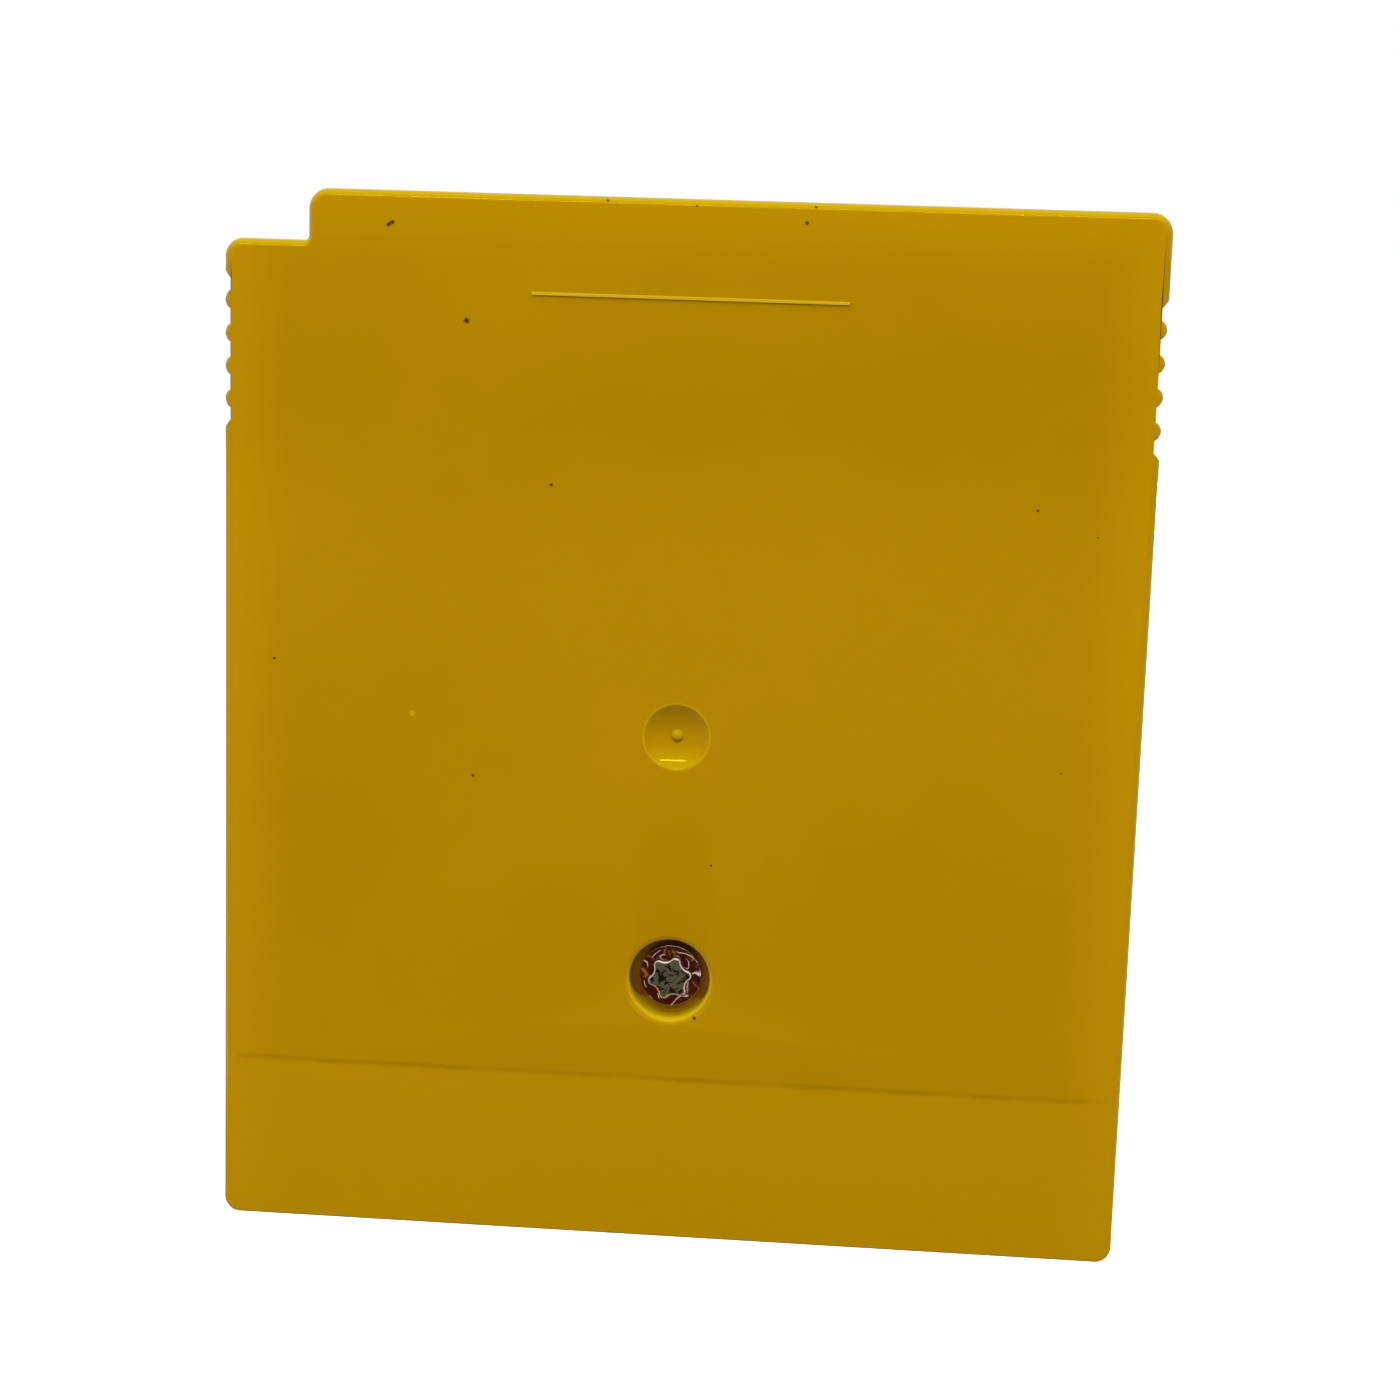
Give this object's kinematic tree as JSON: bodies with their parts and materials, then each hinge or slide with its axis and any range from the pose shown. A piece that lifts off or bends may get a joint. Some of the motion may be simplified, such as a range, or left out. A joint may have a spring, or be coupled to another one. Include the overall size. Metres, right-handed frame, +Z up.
{
  "type": "game cartridge",
  "caption": "Moulded two-part game cartridge with a corner notch, side grips, a recessed security screw and an open edge-connector mouth over a battery-backed circuit board.",
  "frame": {"origin": "middle of the connector edge, on the surface the cartridge stands on", "axes": "+Z up along the case from the connector edge to the top edge, -Y out of the flat rear face, +X to the right as seen from the rear; the notch is in the top corner on the -X side"},
  "size_m": [0.057, 0.0079, 0.0653],
  "materials": {
    "case_plastic": "satin moulded ABS, yellow",
    "screw_steel": "tarnished plated steel",
    "board_laminate": "green solder mask on glass-epoxy laminate",
    "contact_gold": "gold plate",
    "chip_resin": "matt moulded epoxy resin",
    "tinned_leads": "tinned copper alloy",
    "cell_steel": "nickel-plated steel",
    "gasket_plastic": "moulded polypropylene",
    "solder": "tin-lead solder",
    "capacitor_ceramic": "fired ceramic, tan",
    "resistor_glaze": "black overglaze"
  },
  "bodies": {
    "root": {"rear_shell": "case_plastic", "front_shell": "case_plastic", "case_screw": "screw_steel", "circuit_board": "board_laminate", "edge_contacts": "contact_gold", "program_chip": "chip_resin", "program_chip_leads": "tinned_leads", "save_memory_chip": "chip_resin", "save_memory_leads": "tinned_leads", "bank_chip": "chip_resin", "bank_chip_leads": "tinned_leads", "supply_monitor_chip": "chip_resin", "supply_monitor_leads": "tinned_leads", "cell_can": "cell_steel", "cell_gasket": "gasket_plastic", "cell_cap": "cell_steel", "cell_tab_positive": "cell_steel", "cell_tab_negative": "cell_steel", "tab_solder_joints": "solder", "capacitor_bodies": "capacitor_ceramic", "capacitor_end_caps": "tinned_leads", "resistor_bodies": "resistor_glaze", "resistor_end_caps": "tinned_leads"}
  },
  "joints": []
}
